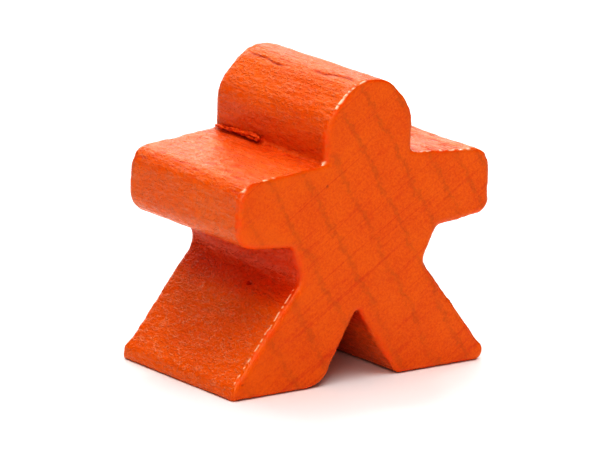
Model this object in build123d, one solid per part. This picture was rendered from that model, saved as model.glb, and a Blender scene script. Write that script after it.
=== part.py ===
from math import sqrt
from build123d import *
import os

# A wooden game figure, 16 mm tall: one block of beech under a thin coat of orange paint.
# Frame: X across the figure, Y through its thickness, Z up. The front face looks along -Y.
# The origin is where the figure stands, under the middle of its box.
# The block is cut from a long moulded strip, so its grain runs along Y.

# The painted figure's overall size, in millimetres
height = 16.0
thickness = 9.8
rim_radius = 0.35
coat = 0.05

# Head: a round top over short straight sides. Its round is flattened a little at 45 degrees
head_half_width = 2.85
head_shift = 0.1
head_radius = 2.2
left_flattening = 0.16
right_flattening = 0.1
neck_z = 11.85
neck_radius = 0.25

# Arms
hand_top_x = 8.1
hand_top_z = 11.4
hand_bottom_x = 8.25
hand_bottom_z = 8.0
armpit_x = 4.75
armpit_z = 7.6
armpit_shift = 0.13

# Legs
waist_x = 3.95
waist_z = 5.9
foot_outer_x = 8.7
foot_inner_x = 2.45
crotch_shift = -0.25
crotch_z = 3.8
crotch_radius = 0.15

# Corner radii: the two flanks came off the moulding cutter a little different
left_radii = dict(hand_top=1.1, hand_bottom=1.3, armpit=0.3, waist=1.0, outer=0.5, inner=1.6)
right_radii = dict(hand_top=1.15, hand_bottom=0.8, armpit=0.4, waist=0.6, outer=0.5, inner=0.6)

# Splinter raised from the corner between the head and the left arm
splinter_back_y = 4.65
splinter_front_y = 0.35
splinter_reach = 0.35
splinter_rise = 0.42
splinter_gap = 0.09
splinter_bevel = 0.12
splinter_back_scale = 0.55


def flank(side, radii):
    """Corners of one side of the outline from the neck down, each as (x, z, radius)."""
    return [
        (head_shift + side * head_half_width, neck_z, neck_radius),
        (side * hand_top_x, hand_top_z, radii["hand_top"]),
        (side * hand_bottom_x, hand_bottom_z, radii["hand_bottom"]),
        (armpit_shift + side * armpit_x, armpit_z, radii["armpit"]),
        (side * waist_x, waist_z, radii["waist"]),
        (side * foot_outer_x, 0, radii["outer"]),
        (side * foot_inner_x, 0, radii["inner"]),
    ]


def half_head(side, flattening):
    """Corners of one side of the head from the crown down, each as (x, z, radius)."""
    reach = sqrt(2) * (head_half_width - flattening) - head_half_width
    return [
        (head_shift + side * reach, height, head_radius),
        (head_shift + side * head_half_width, height - head_half_width + reach, head_radius),
    ]


def outline():
    """The figure's outline as a face: one closed polyline with rounded corners."""
    right = half_head(1, right_flattening) + flank(1, right_radii)
    left = half_head(-1, left_flattening) + flank(-1, left_radii)
    corners = right + [(crotch_shift, crotch_z, crotch_radius)] + left[::-1]
    points = [(x, z) for x, z, _ in corners]
    return make_face(FilletPolyline(*points, radius=[r for _, _, r in corners], close=True))


def block(inset):
    """The figure's block, inset evenly on every side, with its front and back rims rounded."""
    face = offset(outline(), -inset) if inset else outline()
    half_thickness = thickness / 2 - inset
    solid = extrude(Plane.XZ * face, amount=half_thickness, both=True)
    rims = solid.faces().filter_by(Axis.Y).edges()
    return fillet(rims, rim_radius - inset)


def splinter_section(y, scale):
    """The splinter's cross-section at a place along the neck corner, before it meets the body."""
    root_x = head_shift - head_half_width
    tip_x = root_x - splinter_reach * scale
    low = neck_z + splinter_gap
    high = neck_z + splinter_gap + splinter_rise * scale
    bevel = splinter_bevel * scale
    inside = root_x + coat
    corners = [(inside, low), (tip_x + bevel, low), (tip_x, low + bevel), (tip_x + bevel, high), (inside, high)]
    return Plane.XZ.offset(-y) * make_face(Polyline(*corners, close=True))


def wood_block(painted):
    """The bare block inside the film. At the two sole flats the block itself is the surface."""
    soles = painted.faces().filter_by(Plane.XY).group_by(Axis.Z)[0]
    return block(coat) + [extrude(sole, amount=-coat) for sole in soles]


def neck_splinter(painted):
    """A fibre bundle torn up along the corner, growing from the back face to a frayed end."""
    back = splinter_section(splinter_back_y, splinter_back_scale)
    front = splinter_section(splinter_front_y, 1)
    return loft([back, front]) - painted


def save(shape, node):
    shape.label = node
    export_step(shape, f"parts/{node}.step")


os.makedirs("parts", exist_ok=True)
painted = block(0)
wood = wood_block(painted)
save(wood, "wood_body")
save(painted - wood, "paint_coat")
save(neck_splinter(painted), "neck_splinter")
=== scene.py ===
import itertools
import math

import bmesh
import bpy
import numpy as np
from mathutils import Matrix, Vector
from mathutils.geometry import delaunay_2d_cdt
from mathutils.kdtree import KDTree


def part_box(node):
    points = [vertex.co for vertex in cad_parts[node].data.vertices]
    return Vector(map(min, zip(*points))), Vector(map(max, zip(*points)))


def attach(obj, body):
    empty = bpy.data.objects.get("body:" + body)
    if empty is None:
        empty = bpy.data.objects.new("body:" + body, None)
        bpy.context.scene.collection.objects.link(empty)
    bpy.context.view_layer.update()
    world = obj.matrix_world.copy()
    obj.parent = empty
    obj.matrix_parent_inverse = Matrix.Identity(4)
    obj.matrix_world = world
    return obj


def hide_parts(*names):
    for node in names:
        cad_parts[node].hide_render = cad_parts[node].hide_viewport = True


# The orange wooden figure: a painted skin, the beech block inside it, and a torn splinter at the neck.
# The geometry code works in millimetres, and new_piece turns them into metres.
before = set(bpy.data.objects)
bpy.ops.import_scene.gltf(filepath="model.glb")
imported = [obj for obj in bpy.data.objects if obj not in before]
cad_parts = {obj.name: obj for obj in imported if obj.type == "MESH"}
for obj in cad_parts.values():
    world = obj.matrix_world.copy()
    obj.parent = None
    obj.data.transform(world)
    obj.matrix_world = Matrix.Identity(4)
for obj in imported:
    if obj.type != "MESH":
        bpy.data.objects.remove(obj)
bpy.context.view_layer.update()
MM = 0.001
BOX_LOW = np.array(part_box("paint_coat")[0]) / MM
BOX_HIGH = np.array(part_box("paint_coat")[1]) / MM
HALF_THICK = BOX_HIGH[1]
COAT = HALF_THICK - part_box("wood_body")[1].y / MM
SPLINTER_LOW = np.array(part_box("neck_splinter")[0]) / MM
SPLINTER_HIGH = np.array(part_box("neck_splinter")[1]) / MM

# The radii of the rims round the front and back faces, each in general and along the tops
FRONT_RIM = (0.4, 0.18)
BACK_RIM = (0.52, 0.42)
RIM_ROWS = 9
LEAST_RIM = 0.14
WIDEST_RIM = 0.6
NARROWER_AT_SOLES = 0.32

# How far the left foot's outer corner stands out past the block's round corner, to be sharper
LEFT_TOE = 0.17

# How far inside the CAD surface the skin lies on average, to leave room for its relief
SKIN_INSET = 0.02

# How finely the meshes are divided: the steps round the outline, through the thickness and on the ends
SKIN_STEPS = dict(column=0.072, row=0.15, end=0.14)
BLOCK_STEPS = dict(column=0.25, row=0.6, end=0.5)

# How far inside the CAD surface the block lies, and the least radius that this leaves its rims
BLOCK_INSET = 0.2
LEAST_BLOCK_RIM = 0.03

# The growth rings cross the end faces from upper left to lower right, and the rays cross the rings
RING_NORMAL = (0.854, 0.0, 0.52)
RAY_NORMAL = (-0.52, 0.0, 0.854)
FIRST_RING = 0.65
RING_SPACING = 2.0
RING_NARROWING = 0.05

# Cracks along the grain, each as its two ends, its depth and its half width
CRACKS = [
    ((-0.95, 4.3, 15.8), (-1.15, 0.8, 15.74), 0.12, 0.08),
    ((-0.8, -0.8, 15.87), (-0.56, -4.4, 15.92), 0.1, 0.075),
]

# Small knocks in the surface, each as its place, radius and depth. The first shows dark on the left leg
KNOCKS = [
    ((-4.62, -1.2, 5.04), 0.16, 0.14),
    ((-7.6, -4.9, 0.84), 0.12, 0.05),
    ((-8.3, -3.6, 0.2), 0.2, 0.1),
    ((-2.6, -4.9, 10.7), 0.09, 0.05),
    ((5.2, 1.3, 3.9), 0.14, 0.08),
    ((2.2, 4.9, 6.4), 0.12, 0.06),
]

# Runs along the front rim where highlights are painted as pale specks, each as the x and z of its ends
RIM_HIGHLIGHT_RUNS = [
    ((-7.8, 10.95), (-6.9, 11.4)),
    ((-6.6, 11.45), (-6.2, 11.5)),
    ((-4.5, 11.7), (-4.0, 11.75)),
    ((-2.95, 11.8), (-2.6, 11.9)),
    ((-2.0, 14.9), (-1.75, 15.2)),
    ((-1.4, 15.45), (-0.5, 15.85)),
    ((-4.1, 5.35), (-5.7, 3.45)),
    ((-6.0, 3.1), (-6.6, 2.4)),
    ((-7.0, 1.9), (-7.7, 0.95)),
    ((3.0, 11.95), (6.6, 11.65)),
]
RIM_HIGHLIGHT_WIDTH = 0.35

# The torn splinter's strands, each as its place across, its height, and where it ends and starts
STRANDS = [
    (-0.08, 0.0, 0.55, 4.35),
    (0.09, 0.02, 0.42, 4.4),
    (0.0, 0.11, 0.7, 4.2),
    (-0.12, 0.12, 0.37, 2.4),
    (0.1, 0.16, 0.9, 2.9),
]

# The splinter's strands have this many rings, and its stray fibres this many
STRAND_RINGS = 90
STRAY_FIBRES = 9
STRAY_RINGS = 9

# Zones of the figure, each as where along x or z it begins and where it is full
LEGS_BELOW = (7.5, 5.5)
TOPS_ABOVE = (10.4, 11.2)
TOPS_BELOW = (12.6, 12.0)
CROWN_ABOVE = (15.0, 15.9)
RIGHT_ARM_PAST = (2.5, 3.5)

# Colours, as linear red, green and blue, and alpha
PAINT_LIGHT = (0.89, 0.2, 0.0, 1)
PAINT_DARK = (0.66, 0.04, 0.0, 1)
PAINT_ON_RINGS = (0.52, 0.11, 0.006, 1)
# painted sheen on the raised fibres and streaks of the long faces
PAINT_FIBRE_SHEEN = (0.98, 0.44, 0.28, 1)
# painted shade in the cracks, the knocks and the troughs of the long faces
PAINT_SHADED_HOLLOWS = (0.35, 0.012, 0.0, 1)
PAINT_ON_RIMS = (0.88, 0.1, 0.0, 1)
# painted shade for the inner corners: the armpits, the neck and between the legs
PAINT_CORNER_SHADE = (0.62, 0.02, 0.0, 1)
# painted highlights: pale specks on the front rim's crest
PAINT_RIM_HIGHLIGHT = (1.0, 0.72, 0.55, 1)
SPLINTER_LIGHT = (0.92, 0.18, 0.008, 1)
SPLINTER_DARK = (0.66, 0.035, 0.0, 1)
BEECH_LIGHT = (0.66, 0.44, 0.26, 1)
BEECH_DARK = (0.4, 0.22, 0.11, 1)
FLOOR_LIGHT = (0.93, 0.93, 0.93, 1)
FLOOR_DARK = (0.9, 0.9, 0.9, 1)

# How strongly each surface mirrors, as the shader's specular level
PAINT_SPECULAR = 0.44
BEECH_SPECULAR = 0.4
FLOOR_SPECULAR = 0.3

# The lamps, each as its name, its direction from the figure, its distance and size in metres, and
# its power in watts
LAMPS = [
    ("overhead", (0.05, 0.0, 1.0), 0.6, 0.7, 1.8),
    ("overhead_front", (-0.28, -0.3, 0.9), 0.7, 0.6, 1.05),
    ("left_front", (-0.6, -0.75, 0.45), 0.8, 0.5, 1.3),
    ("behind", (0.2, 0.8, 0.55), 0.9, 1.1, 1.25),
    ("low_behind", (0.4, 0.85, 0.35), 0.9, 0.7, 1.2),
    ("right_lamp", (0.5, 0.35, 0.8), 0.7, 0.05, 0.2),
    ("left_lamp", (-0.1, 0.35, 0.93), 0.7, 0.05, 0.13),
]
WORLD_STRENGTH = 0.05
FLOOR_HALF_WIDTH = 1  # in metres

# The camera, about the point that it looks at. Its distance and what it sees are in metres, and its
# focal length is in millimetres
AIM = Vector((-0.4376, 0.0923, 7.2556)) * MM
CAMERA_AZIMUTH = math.radians(-37.57)
CAMERA_ELEVATION = math.radians(14.58)
CAMERA_ROLL = math.radians(1.93)
CAMERA_DISTANCE = 0.3861
LENS = 445.7
CLIP = (0.01, 10)  # the nearest and farthest that it sees


# ---------------------------------------------------------------- noise

def lattice(cell, seed):
    """A fixed random number from -1 to 1 for each whole-numbered cell."""
    mixed = cell[:, 0] * 73856093 ^ cell[:, 1] * 19349663 ^ cell[:, 2] * 83492791 ^ seed * 2654435761
    mixed = (mixed ^ (mixed >> 13)) * 1274126177 & 0xFFFFFFFF
    mixed = (mixed ^ (mixed >> 16)) * 2246822519 & 0xFFFFFFFF
    return (mixed & 0xFFFFFF) / 0x7FFFFF - 1.0


def noise(points, size, seed):
    """Smooth noise from about -1 to 1. size is the size of its lumps along x, y and z."""
    place = points / np.asarray(size, float)
    cell = np.floor(place).astype(np.int64)
    part = place - cell
    part = part * part * (3 - 2 * part)
    total = np.zeros(len(points))
    for corner in itertools.product((0, 1), repeat=3):
        weight = np.prod(np.where(corner, part, 1 - part), axis=1)
        total += weight * lattice(cell + np.array(corner), seed)
    return total


def layered(points, size, seed, layers=3):
    """Noise over finer noise, each layer half the size and a little over half the strength."""
    total = np.zeros(len(points))
    strength = 1.0
    for layer in range(layers):
        total += strength * noise(points, np.asarray(size, float) / 2**layer, seed + 17 * layer)
        strength *= 0.55
    return total


def smoothstep(low, high, value):
    part = np.clip((value - low) / (high - low), 0, 1)
    return part * part * (3 - 2 * part)


# ---------------------------------------------------------------- outline from the frame

def sliced_loop(node):
    """The node's outline at mid-thickness as an ordered loop of (x, z), in millimetres."""
    cut = bmesh.new()
    cut.from_mesh(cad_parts[node].data)
    bmesh.ops.remove_doubles(cut, verts=cut.verts, dist=1e-7)
    everything = cut.verts[:] + cut.edges[:] + cut.faces[:]
    found = bmesh.ops.bisect_plane(cut, geom=everything, plane_co=(0, 0, 0), plane_no=(0, 1, 0))
    edges = [e for e in found["geom_cut"] if isinstance(e, bmesh.types.BMEdge)]
    ring = {v: [] for e in edges for v in e.verts}
    for edge in edges:
        ring[edge.verts[0]].append(edge.verts[1])
        ring[edge.verts[1]].append(edge.verts[0])
    # it goes left from the top, so that smooth_outline's normals point outward
    start = max(ring, key=lambda v: v.co.z)
    loop, here = [start], min(ring[start], key=lambda v: v.co.x)
    while here is not start:
        loop.append(here)
        here = next(v for v in ring[here] if v is not loop[-2])
    points = np.array([(v.co.x, v.co.z) for v in loop]) / MM
    cut.free()
    return points


def corners_only(loop, least_turn=math.radians(0.5)):
    """The loop without the points that lie on a straight line between their neighbours."""
    before = loop - np.roll(loop, 1, axis=0)
    after = np.roll(loop, -1, axis=0) - loop
    cross = before[:, 0] * after[:, 1] - before[:, 1] * after[:, 0]
    turn = np.abs(np.arctan2(cross, (before * after).sum(axis=1)))
    return loop[turn > least_turn]


def corner_tangents(loop, straight):
    """A unit tangent at each point: along a straight run where it meets one, else of the arc.

    straight is the least length, in millimetres, that counts as a straight run.
    """
    after = np.roll(loop, -1, axis=0) - loop
    long_after = np.linalg.norm(after, axis=1)
    before, long_before = np.roll(after, 1, axis=0), np.roll(long_after, 1)
    unit_after = after / long_after[:, None]
    unit_before = before / long_before[:, None]
    # on an arc the nearer neighbour's chord lies closer to the tangent
    arc = unit_before * long_after[:, None] + unit_after * long_before[:, None]
    tangent = np.where((long_after > straight)[:, None], unit_after, arc)
    tangent = np.where((long_before > straight)[:, None], unit_before, tangent)
    return tangent / np.linalg.norm(tangent, axis=1)[:, None]


def smooth_outline(loop, step, straight=0.6):
    """Points every step along the loop, and the outward normal at each, with its arcs made round."""
    tangent = corner_tangents(loop, straight)
    points, tangents = [], []
    for a, b, ta, tb in zip(loop, np.roll(loop, -1, axis=0), tangent, np.roll(tangent, -1, axis=0)):
        length = np.linalg.norm(b - a)
        count = max(1, round(length / step))
        t = (np.arange(count) / count)[:, None]
        points.append((2*t**3 - 3*t**2 + 1) * a + (t**3 - 2*t**2 + t) * length * ta
                      + (3*t**2 - 2*t**3) * b + (t**3 - t**2) * length * tb)
        tangents.append((6*t**2 - 6*t) * a + (3*t**2 - 4*t + 1) * length * ta
                        + (6*t - 6*t**2) * b + (3*t**2 - 2*t) * length * tb)
    points, tangents = np.vstack(points), np.vstack(tangents)
    tangents /= np.linalg.norm(tangents, axis=1)[:, None]
    return points, np.c_[tangents[:, 1], -tangents[:, 0]]


def figure_outline(step, grow):
    """The bare block's outline grown outward, and its normals, without the pads under its soles."""
    loop = sliced_loop("wood_body")
    loop = loop[loop[:, 1] > 0.8 * COAT]
    points, outward = smooth_outline(corners_only(loop), step)
    return points + outward * grow, outward


# ---------------------------------------------------------------- closed figure meshes

def rim_radius(outline, outward, general, along_tops):
    """A rim's radius at each outline point: a little uneven, and never wider than a foot's corner."""
    top = smoothstep(0.5, 0.9, outward[:, 1]) * smoothstep(10, 11, outline[:, 1])
    place = np.c_[outline[:, 0], 0 * outline[:, 0], outline[:, 1]]
    uneven = 1 + 0.14 * noise(place, (0.9, 1, 0.9), 113) + 0.06 * noise(place, (0.3, 1, 0.3), 131)
    widest = WIDEST_RIM - NARROWER_AT_SOLES * smoothstep(1.6, 0.6, outline[:, 1])
    return np.clip((general + (along_tops - general) * top) * uneven, LEAST_RIM, widest)


def side_rows(half_thick, front_rim, back_rim, step):
    """Rows from the front rim to the back rim: how far each is inset, its y, and its normal's y."""
    turn = np.linspace(0, math.pi / 2, RIM_ROWS)[:, None]
    back_turn = turn[::-1]
    share = np.linspace(0, 1, round(2 * half_thick / step) + 1)[1:-1, None]
    flat = 0 * share * front_rim
    start, end = front_rim - half_thick, half_thick - back_rim
    inset = np.vstack([front_rim * (1 - np.sin(turn)), flat, back_rim * (1 - np.sin(back_turn))])
    y = np.vstack([start - front_rim * np.cos(turn), start + share * (end - start),
                   end + back_rim * np.cos(back_turn)])
    facing = np.vstack([0 * front_rim - np.cos(turn), flat, 0 * back_rim + np.cos(back_turn)])
    return inset, y, facing


def end_triangles(boundary, outward, step, clearance=0.6, jitter=0.18):
    """Points scattered inside an end face's edge, and the triangles that fill it.

    clearance is how far the points keep from the edge, and jitter how far they stray, both in steps.
    """
    tree = KDTree(len(boundary))
    for index, (x, z) in enumerate(boundary):
        tree.insert((x, z, 0), index)
    tree.balance()
    low, high = boundary.min(axis=0), boundary.max(axis=0)
    random = np.random.default_rng(5)
    inside = []
    for row, z in enumerate(np.arange(low[1], high[1], step * math.sqrt(3) / 2)):
        for x in np.arange(low[0] + step / 2 * (row % 2), high[0], step):
            point = np.array([x, z]) + random.uniform(-jitter, jitter, 2) * step
            _, nearest, gap = tree.find((*point, 0))
            if gap > clearance * step and (point - boundary[nearest]) @ outward[nearest] < 0:
                inside.append(point)
    inside = np.array(inside)
    count = len(boundary)
    edges = [(i, (i + 1) % count) for i in range(count)]
    points = [Vector(p) for p in np.vstack([boundary, inside])]
    _, _, faces, origin, _, _ = delaunay_2d_cdt(points, edges, [], 1, 1e-6)
    triangles = np.array([[origin[v][0] for v in face] for face in faces])
    return inside, triangles


def grid_quads(rows, columns):
    """The faces between neighbouring rows of points, each row a closed ring."""
    here = np.arange(columns)
    after = (here + 1) % columns
    start = (np.arange(rows - 1) * columns)[:, None]
    quads = np.stack([start + here, start + columns + here, start + columns + after, start + after], -1)
    return quads.reshape(-1, 4)


def closed_figure(grow, steps):
    """The figure's closed surface: points, their outward normals, and faces."""
    outline, outward = figure_outline(steps["column"], grow)
    half_thick = HALF_THICK - COAT + grow
    front_rim, back_rim = (rim_radius(outline, outward, *rim) - COAT + grow
                           for rim in (FRONT_RIM, BACK_RIM))
    front_rim, back_rim = np.maximum((front_rim, back_rim), LEAST_BLOCK_RIM)
    inset, y, facing = side_rows(half_thick, front_rim, back_rim, steps["row"])
    rows, columns = y.shape
    flat = outline[None] - inset[..., None] * outward[None]
    points = np.stack([flat[..., 0], y, flat[..., 1]], -1).reshape(-1, 3)
    turned = outward[None] * np.sqrt(1 - facing**2)[..., None]
    normals = np.stack([turned[..., 0], facing, turned[..., 1]], -1).reshape(-1, 3)

    # an end's triangles number its row of the grid first, and then the points scattered inside it,
    # which come after the whole grid
    front, front_faces = end_triangles(flat[0], outward, steps["end"])
    back, back_faces = end_triangles(flat[-1], outward, steps["end"])
    grid = rows * columns
    last_row = grid - columns
    to_front = np.where(front_faces < columns, front_faces, front_faces + last_row)
    to_back = np.where(back_faces < columns, back_faces + last_row, back_faces + last_row + len(front))
    front = np.insert(front, 1, -half_thick, axis=1)
    back = np.insert(back, 1, half_thick, axis=1)
    points = np.vstack([points, front, back])
    normals = np.vstack([normals, 0 * front - (0, 1, 0), 0 * back + (0, 1, 0)])
    faces = grid_quads(rows, columns).tolist() + to_front.tolist() + to_back[:, ::-1].tolist()
    return points, normals, faces


def new_piece(name, points, faces, material, shares=()):
    """A smooth-shaded mesh piece from points in millimetres, with a named number at each point."""
    mesh = bpy.data.meshes.new(name)
    mesh.from_pydata((points * MM).tolist(), [], faces)
    for share, values in dict(shares).items():
        mesh.attributes.new(share, "FLOAT", "POINT").data.foreach_set("value", values.astype(np.float32))
    mesh.polygons.foreach_set("use_smooth", np.ones(len(mesh.polygons), bool))
    mesh.materials.append(material)
    mesh.update()
    piece = bpy.data.objects.new(name, mesh)
    bpy.context.scene.collection.objects.link(piece)
    return piece


# ---------------------------------------------------------------- surface relief

def crack_depth(points):
    """How deep each point lies in a crack. A crack is deepest midway and wanders a little."""
    depth = np.zeros(len(points))
    for start, end, deepest, half_width in CRACKS:
        start, end = np.array(start), np.array(end)
        run = end - start
        along = np.clip((points - start) @ run / (run @ run), 0, 1)
        beside = points - start - along[:, None] * run
        wander = 0.07 * noise(points * (0, 1, 0), (1, 0.9, 1), 71)
        beside[:, 0] += wander
        distance = np.linalg.norm(beside * (1, 0, 0.15), axis=1)
        ends = smoothstep(0, 0.25, along) * smoothstep(0, 0.25, 1 - along)
        broken = 0.65 + 0.5 * noise(points, (2, 0.5, 2), 73)
        # only the surface that the crack is on, and nothing below it
        near = np.abs(beside[:, 2]) < 0.6
        depth += near * deepest * ends * broken * smoothstep(half_width, 0, distance)
    return np.maximum(depth, 0)


def knock_depth(points):
    """How deep each point lies in one of the small knocks, whose edges are uneven."""
    depth = np.zeros(len(points))
    uneven = 1 + 0.35 * noise(points, (0.12, 0.12, 0.12), 79)
    for place, radius, deepest in KNOCKS:
        distance = np.linalg.norm((points - place) * (1, 0.6, 1), axis=1) * uneven
        depth += deepest * smoothstep(radius, 0, distance)
    return depth


def long_relief(points):
    """Height of the long faces: planed fibres, troughs and slow lumps, all running along y."""
    felt = layered(points, (0.26, 0.34, 0.26), 11, 2)
    gouges = layered(points, (0.42, 1.1, 0.42), 23, 2)
    bands = layered(points, (0.6, 5, 0.6), 31, 2)
    lumps = noise(points, (2.6, 4, 2.6), 41)
    troughs = smoothstep(0.35, 0.9, noise(points, (0.24, 0.9, 0.24), 47))
    # the sawn tops are ridged along the grain, and the right arm's top most of all
    ridges = layered(points, (0.36, 2.0, 0.36), 43, 2)
    top = smoothstep(10.5, 11.2, points[:, 2])
    ridged = top * (0.012 + 0.045 * smoothstep(2.5, 4, points[:, 0]))
    return (0.012 * felt + 0.013 * gouges + 0.008 * bands + 0.01 * lumps - 0.02 * troughs
            + ridged * ridges)


def end_relief(points):
    """Height of the sawn end faces, which are sanded nearly flat."""
    return 0.004 * layered(points, (0.5, 9, 0.5), 53) + 0.004 * noise(points, (2.2, 9, 2.2), 59)


def rim_share(facing):
    """From 0 to 1 on the rims, given how much each point faces front or back."""
    return smoothstep(0.0, 0.25, facing) * smoothstep(1.0, 0.85, facing)


def rim_relief(points, facing):
    """Height along the rims: small flats from knocking about, and a broken raised lip of paint."""
    worn = smoothstep(0.1, 0.8, noise(points, (0.9, 0.9, 0.9), 67))
    uneven = layered(points, (0.25, 0.25, 0.25), 69, 2)
    lip = smoothstep(0.05, 0.2, facing) * smoothstep(0.65, 0.35, facing)
    broken = smoothstep(-0.3, 0.5, layered(points, (0.5, 0.5, 0.5), 61, 3))
    height = rim_share(facing) * (0.006 * uneven - 0.014 * worn) + 0.02 * lip * broken
    return height, lip * broken


def painted_rim_highlight(points, facing):
    """How strongly highlights are painted as pale specks on the crest of the front rim, from 0 to 1."""
    # the rims along the tops are narrow, so there the painted highlights reach farther round them
    reach = 0.4 + 0.4 * smoothstep(9, 10, points[:, 2])
    crest = smoothstep(0.02, 0.1, facing) * smoothstep(reach, 0.5 * reach, facing) * (points[:, 1] < 0)
    flat = points[:, (0, 2)]
    near = np.zeros(len(points))
    for start, end in np.array(RIM_HIGHLIGHT_RUNS):
        run = end - start
        along = np.clip((flat - start) @ run / (run @ run), 0, 1)
        distance = np.linalg.norm(flat - start - along[:, None] * run, axis=1)
        near = np.maximum(near, smoothstep(RIM_HIGHLIGHT_WIDTH, 0.5 * RIM_HIGHLIGHT_WIDTH, distance))
    broken = smoothstep(-0.06, 0.16, layered(points, (0.17, 0.17, 0.17), 127, 2))
    return crest * near * broken


def painted_corner_shade(points):
    """How much painted shade darkens the places near the inner corners of the outline, from 0 to 1."""
    outline, outward = figure_outline(SKIN_STEPS["column"], COAT)
    after = np.roll(outward, -1, axis=0)
    turn = outward[:, 0] * after[:, 1] - outward[:, 1] * after[:, 0]
    corners = outline[turn * np.sign(turn.sum()) < -0.01]
    gap = np.full(len(points), np.inf)
    for corner in corners:
        gap = np.minimum(gap, np.hypot(points[:, 0] - corner[0], points[:, 2] - corner[1]))
    return smoothstep(1.9, 0.2, gap)


def left_toe(points, normals):
    """From 0 to 1 round the left foot's outer corner, and most halfway round it."""
    on_corner = (points[:, 0] < 0) & (points[:, 2] < 0.8) & (normals[:, 0] < 0) & (normals[:, 2] < 0)
    return on_corner * 4 * normals[:, 0]**2 * normals[:, 2]**2


def weathered(points, normals):
    """The points with the relief of a real painted block, and the shares that its paint uses."""
    facing = np.abs(normals[:, 1])
    end_grain = smoothstep(0.3, 1.0, facing)
    rim_height, lip = rim_relief(points, facing)
    sole = smoothstep(0.8, 0.98, -normals[:, 2]) * smoothstep(0.5, 0.1, points[:, 2])
    long_height = long_relief(points)
    damage = crack_depth(points) + knock_depth(points)
    height = (1 - end_grain) * (1 - 0.7 * sole) * long_height + end_grain * end_relief(points)
    height += rim_height - damage - SKIN_INSET + LEFT_TOE * left_toe(points, normals)
    moved = np.clip(points + normals * height[:, None], BOX_LOW, BOX_HIGH)
    # painted shade for the hollows: the cracks, the knocks and the troughs of the long faces
    trough = (1 - end_grain) * 0.2 * smoothstep(0.01, 0.05, -long_height)
    hollow_shade = np.clip(2 * smoothstep(0.0, 0.05, damage) + trough, 0, 1)
    # painted shade in the inner corners, full under the arms and weaker on the slope beside the neck
    under_arms = 0.35 + 0.65 * smoothstep(10.5, 9.0, points[:, 2])
    corner_shade = (1 - end_grain) * painted_corner_shade(points) * under_arms
    shares = dict(end_grain=end_grain, rim=rim_share(facing), lip=lip, corner_shade=corner_shade, hollow_shade=hollow_shade,
                  rim_highlight=painted_rim_highlight(points, facing))
    return moved, shares


# ---------------------------------------------------------------- materials

class Recipe:
    """A material being wired. Each method adds a node and gives back its output."""

    def __init__(self, name):
        self.material = bpy.data.materials.new(name)
        self.material.use_nodes = True
        self.nodes = self.material.node_tree.nodes
        self.links = self.material.node_tree.links
        self.shader = self.nodes["Principled BSDF"]
        self.place = self.node("VectorMath", {0: self.nodes.new("ShaderNodeTexCoord").outputs["Object"],
                                              "Scale": 1 / MM}, operation="SCALE").outputs[0]

    def node(self, kind, inputs, **settings):
        made = self.nodes.new("ShaderNode" + kind)
        for setting, value in settings.items():
            setattr(made, setting, value)
        for socket, value in inputs.items():
            self.feed(made.inputs[socket], value)
        return made

    def feed(self, socket, value):
        if isinstance(value, bpy.types.NodeSocket):
            self.links.new(value, socket)
        else:
            socket.default_value = value

    def math(self, operation, a, b=0.0):
        return self.node("Math", {0: a, 1: b}, operation=operation).outputs[0]

    def add(self, *terms):
        total = terms[0]
        for term in terms[1:]:
            total = self.math("ADD", total, term)
        return total

    def times(self, a, b):
        return self.math("MULTIPLY", a, b)

    def along(self, direction):
        """How far the surface lies in a direction, in millimetres."""
        inputs = {0: self.place, 1: direction}
        return self.node("VectorMath", inputs, operation="DOT_PRODUCT").outputs["Value"]

    def noise(self, size, detail=2.0, roughness=0.5):
        """Noise from 0 to 1 with lumps of that size in millimetres along x, y and z."""
        inputs = {0: self.place, 1: [1 / s for s in size]}
        scaled = self.node("VectorMath", inputs, operation="MULTIPLY").outputs[0]
        inputs = {"Vector": scaled, "Scale": 1.0, "Detail": detail, "Roughness": roughness}
        return self.node("TexNoise", inputs).outputs["Fac"]

    def turned_noise(self, ray_size, cross_size, detail=1.0):
        """Noise stretched along the rays: its lumps are ray_size long and cross_size wide."""
        inputs = {0: self.times(self.along(RING_NORMAL), 1 / ray_size),
                  1: self.times(self.along(RAY_NORMAL), 1 / cross_size),
                  2: self.times(self.along((0, 1, 0)), 1 / ray_size)}
        turned = self.node("CombineXYZ", inputs).outputs[0]
        return self.node("TexNoise", {"Vector": turned, "Scale": 1.0, "Detail": detail}).outputs["Fac"]

    def gap_to_line(self, across, spacing):
        """How far a place is from the nearest of a set of evenly spaced lines."""
        return self.times(self.math("PINGPONG", self.times(across, 1 / spacing), 0.5), spacing)

    def ramp(self, value, low, high, to_low=0.0, to_high=1.0):
        """A smooth step of value from low to high, which may be the larger."""
        inputs = {"Value": value, 1: low, 2: high, 3: to_low, 4: to_high}
        return self.node("MapRange", inputs, interpolation_type="SMOOTHSTEP").outputs["Result"]

    def share(self, name):
        """A named number that the mesh holds at each point."""
        return self.node("Attribute", {}, attribute_name=name).outputs["Fac"]

    def blend(self, share, a, b):
        """A number or the share of the way from number a to number b."""
        return self.node("Mix", {0: share, 2: a, 3: b}, data_type="FLOAT").outputs[0]

    def colour(self, share, a, b):
        """A colour the share of the way from a to b."""
        return self.node("Mix", {0: share, 6: a, 7: b}, data_type="RGBA").outputs[2]

    def finish(self, colour, roughness, height, specular):
        """Wires the shader. height is the fine relief in millimetres."""
        self.feed(self.shader.inputs["Base Color"], colour)
        self.feed(self.shader.inputs["Roughness"], roughness)
        bump = self.node("Bump", {"Height": height, "Distance": MM, "Strength": 1.0})
        self.feed(self.shader.inputs["Normal"], bump.outputs[0])
        self.shader.inputs["Specular IOR Level"].default_value = specular
        return self.material


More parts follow.
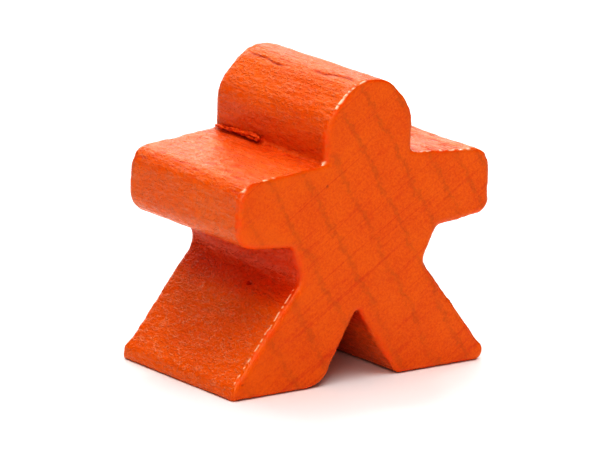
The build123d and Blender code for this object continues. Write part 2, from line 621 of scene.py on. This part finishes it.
def ring_darkness(recipe):
    """Soft dark bands where the end faces cut the growth rings, from 0 to 1. They draw closer outward."""
    wobble = recipe.ramp(recipe.noise((3, 8, 3), 3), 0, 1, -0.35, 0.35)
    ragged = recipe.ramp(recipe.noise((0.25, 3, 0.25), 2), 0, 1, -0.25, 0.25)
    across = recipe.add(recipe.along(RING_NORMAL), -FIRST_RING, wobble, ragged)
    # ring number n lies at n * RING_SPACING - n * n * RING_NARROWING, solved here for n
    middle = RING_SPACING / (2 * RING_NARROWING)
    share = recipe.math("SUBTRACT", 1.0, recipe.times(across, 1 / (RING_NARROWING * middle**2)))
    number = recipe.times(recipe.math("SUBTRACT", 1.0, recipe.math("SQRT", share)), middle)
    distance = recipe.times(recipe.gap_to_line(number, 1.0), RING_SPACING)
    line = recipe.ramp(distance, 0.28, 0.02)
    halo = recipe.ramp(distance, 0.7, 0.0)
    strength = recipe.ramp(recipe.noise((0.8, 6, 0.8), 3, 0.6), 0.3, 0.65, 0.25, 1.0)
    return recipe.times(strength, recipe.add(recipe.times(line, 0.75), recipe.times(halo, 0.25)))


def ray_darkness(recipe):
    """Thin straight lines across the rings, from 0 to 1: many faint ones and a few strong."""
    stray = recipe.ramp(recipe.turned_noise(40, 1.0, 2), 0, 1, -1.4, 1.4)
    across = recipe.add(recipe.along(RAY_NORMAL), stray)
    faint = recipe.ramp(recipe.gap_to_line(across, 0.4), 0.09, 0.0)
    strong = recipe.ramp(recipe.gap_to_line(recipe.add(across, 0.35), 1.35), 0.1, 0.0)
    faint_share = recipe.ramp(recipe.turned_noise(2.2, 0.3), 0.4, 0.65)
    strong_share = recipe.ramp(recipe.turned_noise(6, 0.7), 0.38, 0.52)
    return recipe.add(recipe.times(recipe.times(faint, faint_share), 0.4),
                      recipe.times(recipe.times(strong, strong_share), 0.6))


def raised_fibres(recipe):
    """Short curved fibres standing up under the paint of the long faces, from 0 to 1."""
    bend = recipe.noise((0.24, 0.5, 0.24), 2)
    line = recipe.ramp(recipe.math("ABSOLUTE", recipe.add(bend, -0.5)), 0.05, 0.0)
    broken = recipe.ramp(recipe.noise((0.25, 0.4, 0.25), 1), 0.35, 0.58, 0.15, 1.0)
    return recipe.times(line, broken)


class PaintedGrain:
    """What the paint's colour, gloss and height share: its noises, and the zones of the figure."""

    def __init__(self, recipe):
        self.end_grain = recipe.share("end_grain")
        self.rings = recipe.times(ring_darkness(recipe), self.end_grain)
        self.fibres = recipe.times(raised_fibres(recipe), recipe.math("SUBTRACT", 1.0, self.end_grain))
        self.mottle = recipe.noise((0.12, 0.12, 0.12), 3, 0.65)
        self.cloud = recipe.noise((2.5, 4, 2.5), 2)
        self.streak = recipe.noise((0.16, 1.2, 0.16), 3, 0.6)
        self.fuzz = recipe.noise((0.15, 0.18, 0.15), 2, 0.6)
        self.stripes = recipe.noise((0.2, 2.2, 0.2), 2)
        upward = recipe.along((0, 0, 1))
        tops = recipe.times(recipe.ramp(upward, *TOPS_ABOVE), recipe.ramp(upward, *TOPS_BELOW))
        tops_and_crown = recipe.add(tops, recipe.ramp(upward, *CROWN_ABOVE, 0.0, 0.7))
        self.legs = recipe.ramp(upward, *LEGS_BELOW)
        self.right_top = recipe.times(tops, recipe.ramp(recipe.along((1, 0, 0)), *RIGHT_ARM_PAST))
        grooves = recipe.ramp(recipe.noise((0.17, 1.0, 0.17), 2), 0.55, 0.68)
        self.grooves = recipe.times(grooves, tops_and_crown)


def paint_darkness(recipe, grain):
    """How dark the paint is: mottled and crossed by rays on the ends, and streaked on the sides."""
    end_dark = recipe.add(recipe.times(grain.rings, 0.05),
                          recipe.times(ray_darkness(recipe), 0.42),
                          recipe.ramp(grain.mottle, 0.3, 0.7, 0.0, 0.35),
                          recipe.ramp(grain.cloud, 0.3, 0.7, 0.0, 0.15))
    dark_stripes = recipe.ramp(grain.stripes, 0.5, 0.38, 0.0, 0.25)
    side_dark = recipe.add(recipe.ramp(grain.streak, 0.35, 0.7, 0.0, 0.12),
                           recipe.ramp(grain.fuzz, 0.35, 0.65, 0.1, 0.0),
                           recipe.ramp(grain.cloud, 0.3, 0.7, 0.15, 0.3),
                           recipe.times(grain.legs, -0.06),
                           recipe.times(grain.grooves, 0.45),
                           recipe.times(grain.right_top, dark_stripes))
    return recipe.blend(grain.end_grain, side_dark, end_dark)


def painted_fibre_sheen(recipe, grain):
    """How much painted sheen lies on the long faces: on raised fibres, planed streaks and the right arm's
    stripes.
    """
    streak_sheen = recipe.times(recipe.ramp(grain.streak, 0.5, 0.72), recipe.blend(grain.legs, 0.2, 0.06))
    stripe_sheen = recipe.ramp(grain.stripes, 0.45, 0.6, 0.0, 0.35)
    streak_sheen = recipe.add(streak_sheen, recipe.times(grain.right_top, stripe_sheen))
    fibre_sheen = recipe.times(grain.fibres, recipe.blend(grain.legs, 0.2, 0.33))
    return recipe.add(fibre_sheen, recipe.blend(grain.end_grain, streak_sheen, 0.0))


def paint_colour(recipe, grain):
    """The paint's colour, with rings, painted sheen on fibres and streaks, painted shade in hollows, ragged
    rims, painted shade in the inner corners and painted highlights on the front rim over it.
    """
    corner_shade = recipe.share("corner_shade")
    outside_corner_shade = recipe.math("SUBTRACT", 1.0, corner_shade)
    ragged = recipe.ramp(recipe.noise((1.2, 1.2, 1.2), 4, 0.65), 0.4, 0.6, 0.0, 0.6)
    ragged_rim = recipe.times(recipe.share("rim"), recipe.times(ragged, outside_corner_shade))
    colour = recipe.colour(recipe.ramp(paint_darkness(recipe, grain), -0.3, 1.3), PAINT_LIGHT, PAINT_DARK)
    colour = recipe.colour(recipe.times(grain.rings, 0.34), colour, PAINT_ON_RINGS)
    # painted sheen on fibres and streaks, left out where the corner shade is painted
    colour = recipe.colour(recipe.times(painted_fibre_sheen(recipe, grain), outside_corner_shade), colour, PAINT_FIBRE_SHEEN)
    # painted shade in the hollows
    colour = recipe.colour(recipe.times(recipe.share("hollow_shade"), 0.65), colour, PAINT_SHADED_HOLLOWS)
    colour = recipe.colour(ragged_rim, colour, PAINT_ON_RIMS)
    # painted shade in the inner corners
    colour = recipe.colour(recipe.times(corner_shade, 0.55), colour, PAINT_CORNER_SHADE)
    # painted highlights on the front rim's crest
    return recipe.colour(recipe.share("rim_highlight"), colour, PAINT_RIM_HIGHLIGHT)


def paint_roughness(recipe, grain):
    """The paint shines most on the sides, the rims and the lip, and least on the ends."""
    side = recipe.ramp(grain.streak, 0.3, 0.7, 0.2, 0.3)
    end = recipe.ramp(grain.mottle, 0.3, 0.7, 0.36, 0.44)
    roughness = recipe.blend(grain.end_grain, side, end)
    return recipe.add(roughness, recipe.times(recipe.share("rim"), -0.1),
                      recipe.times(recipe.share("lip"), -0.12))


def paint_height(recipe, grain):
    """The paint's finest relief in millimetres, too small for the mesh."""
    side = recipe.add(recipe.times(grain.fuzz, 0.06),
                      recipe.times(grain.streak, recipe.blend(grain.legs, 0.06, 0.03)),
                      recipe.times(grain.fibres, 0.02),
                      recipe.times(grain.grooves, -0.02))
    end = recipe.add(recipe.times(grain.mottle, 0.03), recipe.times(grain.rings, -0.004))
    lip = recipe.times(recipe.noise((0.2, 0.2, 0.2), 1), 0.03)
    return recipe.blend(recipe.share("lip"), recipe.blend(grain.end_grain, side, end), lip)


def orange_paint():
    """Thin orange paint that shows the rings and rays of the end grain and the fibres of the sides."""
    recipe = Recipe("orange_paint")
    grain = PaintedGrain(recipe)
    roughness = paint_roughness(recipe, grain)
    height = paint_height(recipe, grain)
    return recipe.finish(paint_colour(recipe, grain), roughness, height, PAINT_SPECULAR)


def bare_beech():
    """Pale bare beech with darker rings, rays and pores."""
    recipe = Recipe("bare_beech")
    rings = ring_darkness(recipe)
    rays = ray_darkness(recipe)
    pores = recipe.ramp(recipe.noise((0.08, 1.2, 0.08), 2), 0.6, 0.75)
    dark = recipe.add(recipe.times(rings, 0.6), recipe.times(rays, 0.3), recipe.times(pores, 0.4))
    colour = recipe.colour(dark, BEECH_LIGHT, BEECH_DARK)
    height = recipe.times(pores, -0.01)
    roughness = recipe.ramp(pores, 0, 1, 0.6, 0.75)
    return recipe.finish(colour, roughness, height, BEECH_SPECULAR)


def painted_splinter():
    """The same paint on torn fibres: duller, rougher and finely furrowed."""
    recipe = Recipe("painted_splinter")
    fibre = recipe.noise((0.05, 0.9, 0.05), 3, 0.65)
    mottle = recipe.noise((0.15, 0.25, 0.15), 2)
    dark = recipe.add(recipe.ramp(fibre, 0.35, 0.7, 0.0, 0.6), recipe.ramp(mottle, 0.3, 0.7, 0.0, 0.3))
    colour = recipe.colour(dark, SPLINTER_LIGHT, SPLINTER_DARK)
    knots = recipe.noise((0.1, 0.16, 0.1), 2)
    height = recipe.add(recipe.times(fibre, 0.04), recipe.times(knots, 0.12))
    roughness = recipe.ramp(fibre, 0.3, 0.7, 0.3, 0.5)
    return recipe.finish(colour, roughness, height, PAINT_SPECULAR)


# ---------------------------------------------------------------- pieces

def tube(centres, sizes, seed, sides=12, roughness=0.2):
    """Points and faces of an uneven closed tube. sizes are its half width and half height."""
    angle = np.arange(sides) / sides * 2 * math.pi
    around = np.stack([np.cos(angle), 0 * angle, np.sin(angle)], -1)
    points = []
    for centre, (half_width, half_height) in zip(centres, sizes):
        ring = around * (half_width, 0, half_height)
        uneven = 1 + roughness * noise(np.array(centre) + around * 0.3, (0.2, 0.5, 0.2), seed)
        points.append(centre + ring * uneven[:, None])
    count = len(centres)
    points = np.vstack(points + [centres[:1], centres[-1:]])
    faces = []
    for row in range(count - 1):
        here, further = row * sides, (row + 1) * sides
        for side in range(sides):
            after = (side + 1) % sides
            faces.append([here + side, here + after, further + after, further + side])
    first_centre, last_centre = count * sides, count * sides + 1
    last_ring = (count - 1) * sides
    for side in range(sides):
        after = (side + 1) % sides
        faces.append([after, side, first_centre])
        faces.append([last_ring + side, last_ring + after, last_centre])
    return points, faces


def joined(parts):
    """Several sets of points and faces as one."""
    points, faces, start = [], [], 0
    for part_points, part_faces in parts:
        points.append(part_points)
        faces += [[v + start for v in face] for face in part_faces]
        start += len(part_points)
    return np.vstack(points), faces


def splinter_bundle():
    """Torn strands lying side by side, which thicken toward the front and part at the broken tip."""
    random = np.random.default_rng(17)
    parts = []
    for index, (beside, lift, end_y, start_y) in enumerate(STRANDS):
        y = np.linspace(start_y, end_y, STRAND_RINGS)
        line = np.c_[0 * y, y, 0 * y]
        t = (SPLINTER_HIGH[1] - y) / (SPLINTER_HIGH[1] - SPLINTER_LOW[1])
        ends = smoothstep(0, 0.12, start_y - y) * smoothstep(0, 0.06, y - end_y)
        thick = (0.045 + 0.03 * t) * (1 + 0.5 * noise(line, (1, 0.13, 1), 83 + index))
        sizes = np.c_[1.1 * thick, thick] * (0.3 + 0.7 * ends)[:, None]
        sway = 0.05 * noise(line, (1, 0.5, 1), 97 + index)
        heave = 0.04 * noise(line, (1, 0.4, 1), 107 + index)
        x = SPLINTER_HIGH[0] - 0.18 + beside * (0.5 + 0.5 * t) + sway
        z = SPLINTER_LOW[2] + 0.08 + lift * (0.4 + 0.6 * t) + heave
        parts.append(tube(np.c_[x, y, z], sizes, random.integers(1000), roughness=0.35))
    return parts


def stray_fibres():
    """Thin fibres that stand off the bundle's front end and its top."""
    random = np.random.default_rng(11)
    parts = []
    for index in range(STRAY_FIBRES):
        # the first few stand at the broken front end, and the rest anywhere along the bundle
        start_y = random.uniform(0.5, 3.8) if index > 3 else random.uniform(0.45, 0.9)
        length = random.uniform(0.25, 0.7)
        lift = random.uniform(0.05, 0.2)
        t = np.linspace(0, 1, STRAY_RINGS)
        x = SPLINTER_HIGH[0] - 0.15 + random.uniform(-0.1, 0.05) + random.uniform(-0.12, 0.05) * t
        y = start_y - length * t
        z = np.minimum(SPLINTER_LOW[2] + 0.16 + 0.1 * t + lift * t * t, SPLINTER_HIGH[2] - 0.05)
        radius = 0.035 * (1 - 0.7 * t)
        parts.append(tube(np.c_[x, y, z], np.c_[radius, radius], 103 + index, sides=7))
    return parts


def place_skin():
    """The painted skin, which is all that shows of the figure besides the splinter."""
    points, normals, faces = closed_figure(COAT, SKIN_STEPS)
    moved, shares = weathered(points, normals)
    skin = new_piece("paint_skin", moved, faces, orange_paint(), shares)
    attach(skin, "root")
    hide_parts("paint_coat")


def place_block():
    """The beech block, deep enough that no crack or knock in the skin reaches it."""
    points, _, faces = closed_figure(COAT - BLOCK_INSET, BLOCK_STEPS)
    block = new_piece("beech_block", points, faces, bare_beech())
    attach(block, "root")
    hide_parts("wood_body")


def place_splinter():
    """The torn splinter, kept within its CAD node's box."""
    points, faces = joined(splinter_bundle() + stray_fibres())
    points = np.clip(points, SPLINTER_LOW, SPLINTER_HIGH)
    splinter = new_piece("torn_splinter", points, faces, painted_splinter())
    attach(splinter, "root")
    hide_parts("neck_splinter")


# ---------------------------------------------------------------- stage, light and camera

def white_floor():
    recipe = Recipe("floor_white")
    tone = recipe.noise((30, 30, 30), 2)
    colour = recipe.colour(tone, FLOOR_LIGHT, FLOOR_DARK)
    roughness = recipe.ramp(tone, 0, 1, 0.55, 0.65)
    material = recipe.finish(colour, roughness, 0.0, FLOOR_SPECULAR)
    far = FLOOR_HALF_WIDTH
    mesh = bpy.data.meshes.new("floor")
    mesh.from_pydata([(-far, -far, 0), (far, -far, 0), (far, far, 0), (-far, far, 0)], [], [(0, 1, 2, 3)])
    mesh.materials.append(material)
    floor = bpy.data.objects.new("floor", mesh)
    bpy.context.scene.collection.objects.link(floor)


def soft_light(name, direction, distance, size, power):
    """A round soft light that shines at the figure from a direction."""
    lamp = bpy.data.lights.new(name, "AREA")
    lamp.shape = "DISK"
    lamp.size = size
    lamp.energy = power
    light = bpy.data.objects.new(name, lamp)
    light.location = AIM + Vector(direction).normalized() * distance
    light.rotation_euler = Vector(direction).to_track_quat("Z", "Y").to_euler()
    bpy.context.scene.collection.objects.link(light)


def studio():
    world = bpy.data.worlds.new("white_room")
    world.use_nodes = True
    background = world.node_tree.nodes["Background"].inputs
    background["Color"].default_value = (1, 1, 1, 1)
    background["Strength"].default_value = WORLD_STRENGTH
    bpy.context.scene.world = world
    for lamp in LAMPS:
        soft_light(*lamp)
    bpy.context.scene.view_settings.view_transform = "Standard"
    bpy.context.scene.view_settings.look = "Very High Contrast"


def camera():
    lens = bpy.data.cameras.new("camera")
    lens.lens = LENS
    lens.clip_start, lens.clip_end = CLIP
    turn = (Matrix.Rotation(CAMERA_AZIMUTH, 4, "Z")
            @ Matrix.Rotation(math.pi / 2 - CAMERA_ELEVATION, 4, "X")
            @ Matrix.Rotation(CAMERA_ROLL, 4, "Z"))
    back_off = turn.to_3x3() @ Vector((0, 0, CAMERA_DISTANCE))
    viewer = bpy.data.objects.new("camera", lens)
    viewer.matrix_world = Matrix.Translation(AIM + back_off) @ turn
    bpy.context.scene.collection.objects.link(viewer)
    bpy.context.scene.camera = viewer


place_skin()
place_block()
place_splinter()
white_floor()
studio()
camera()
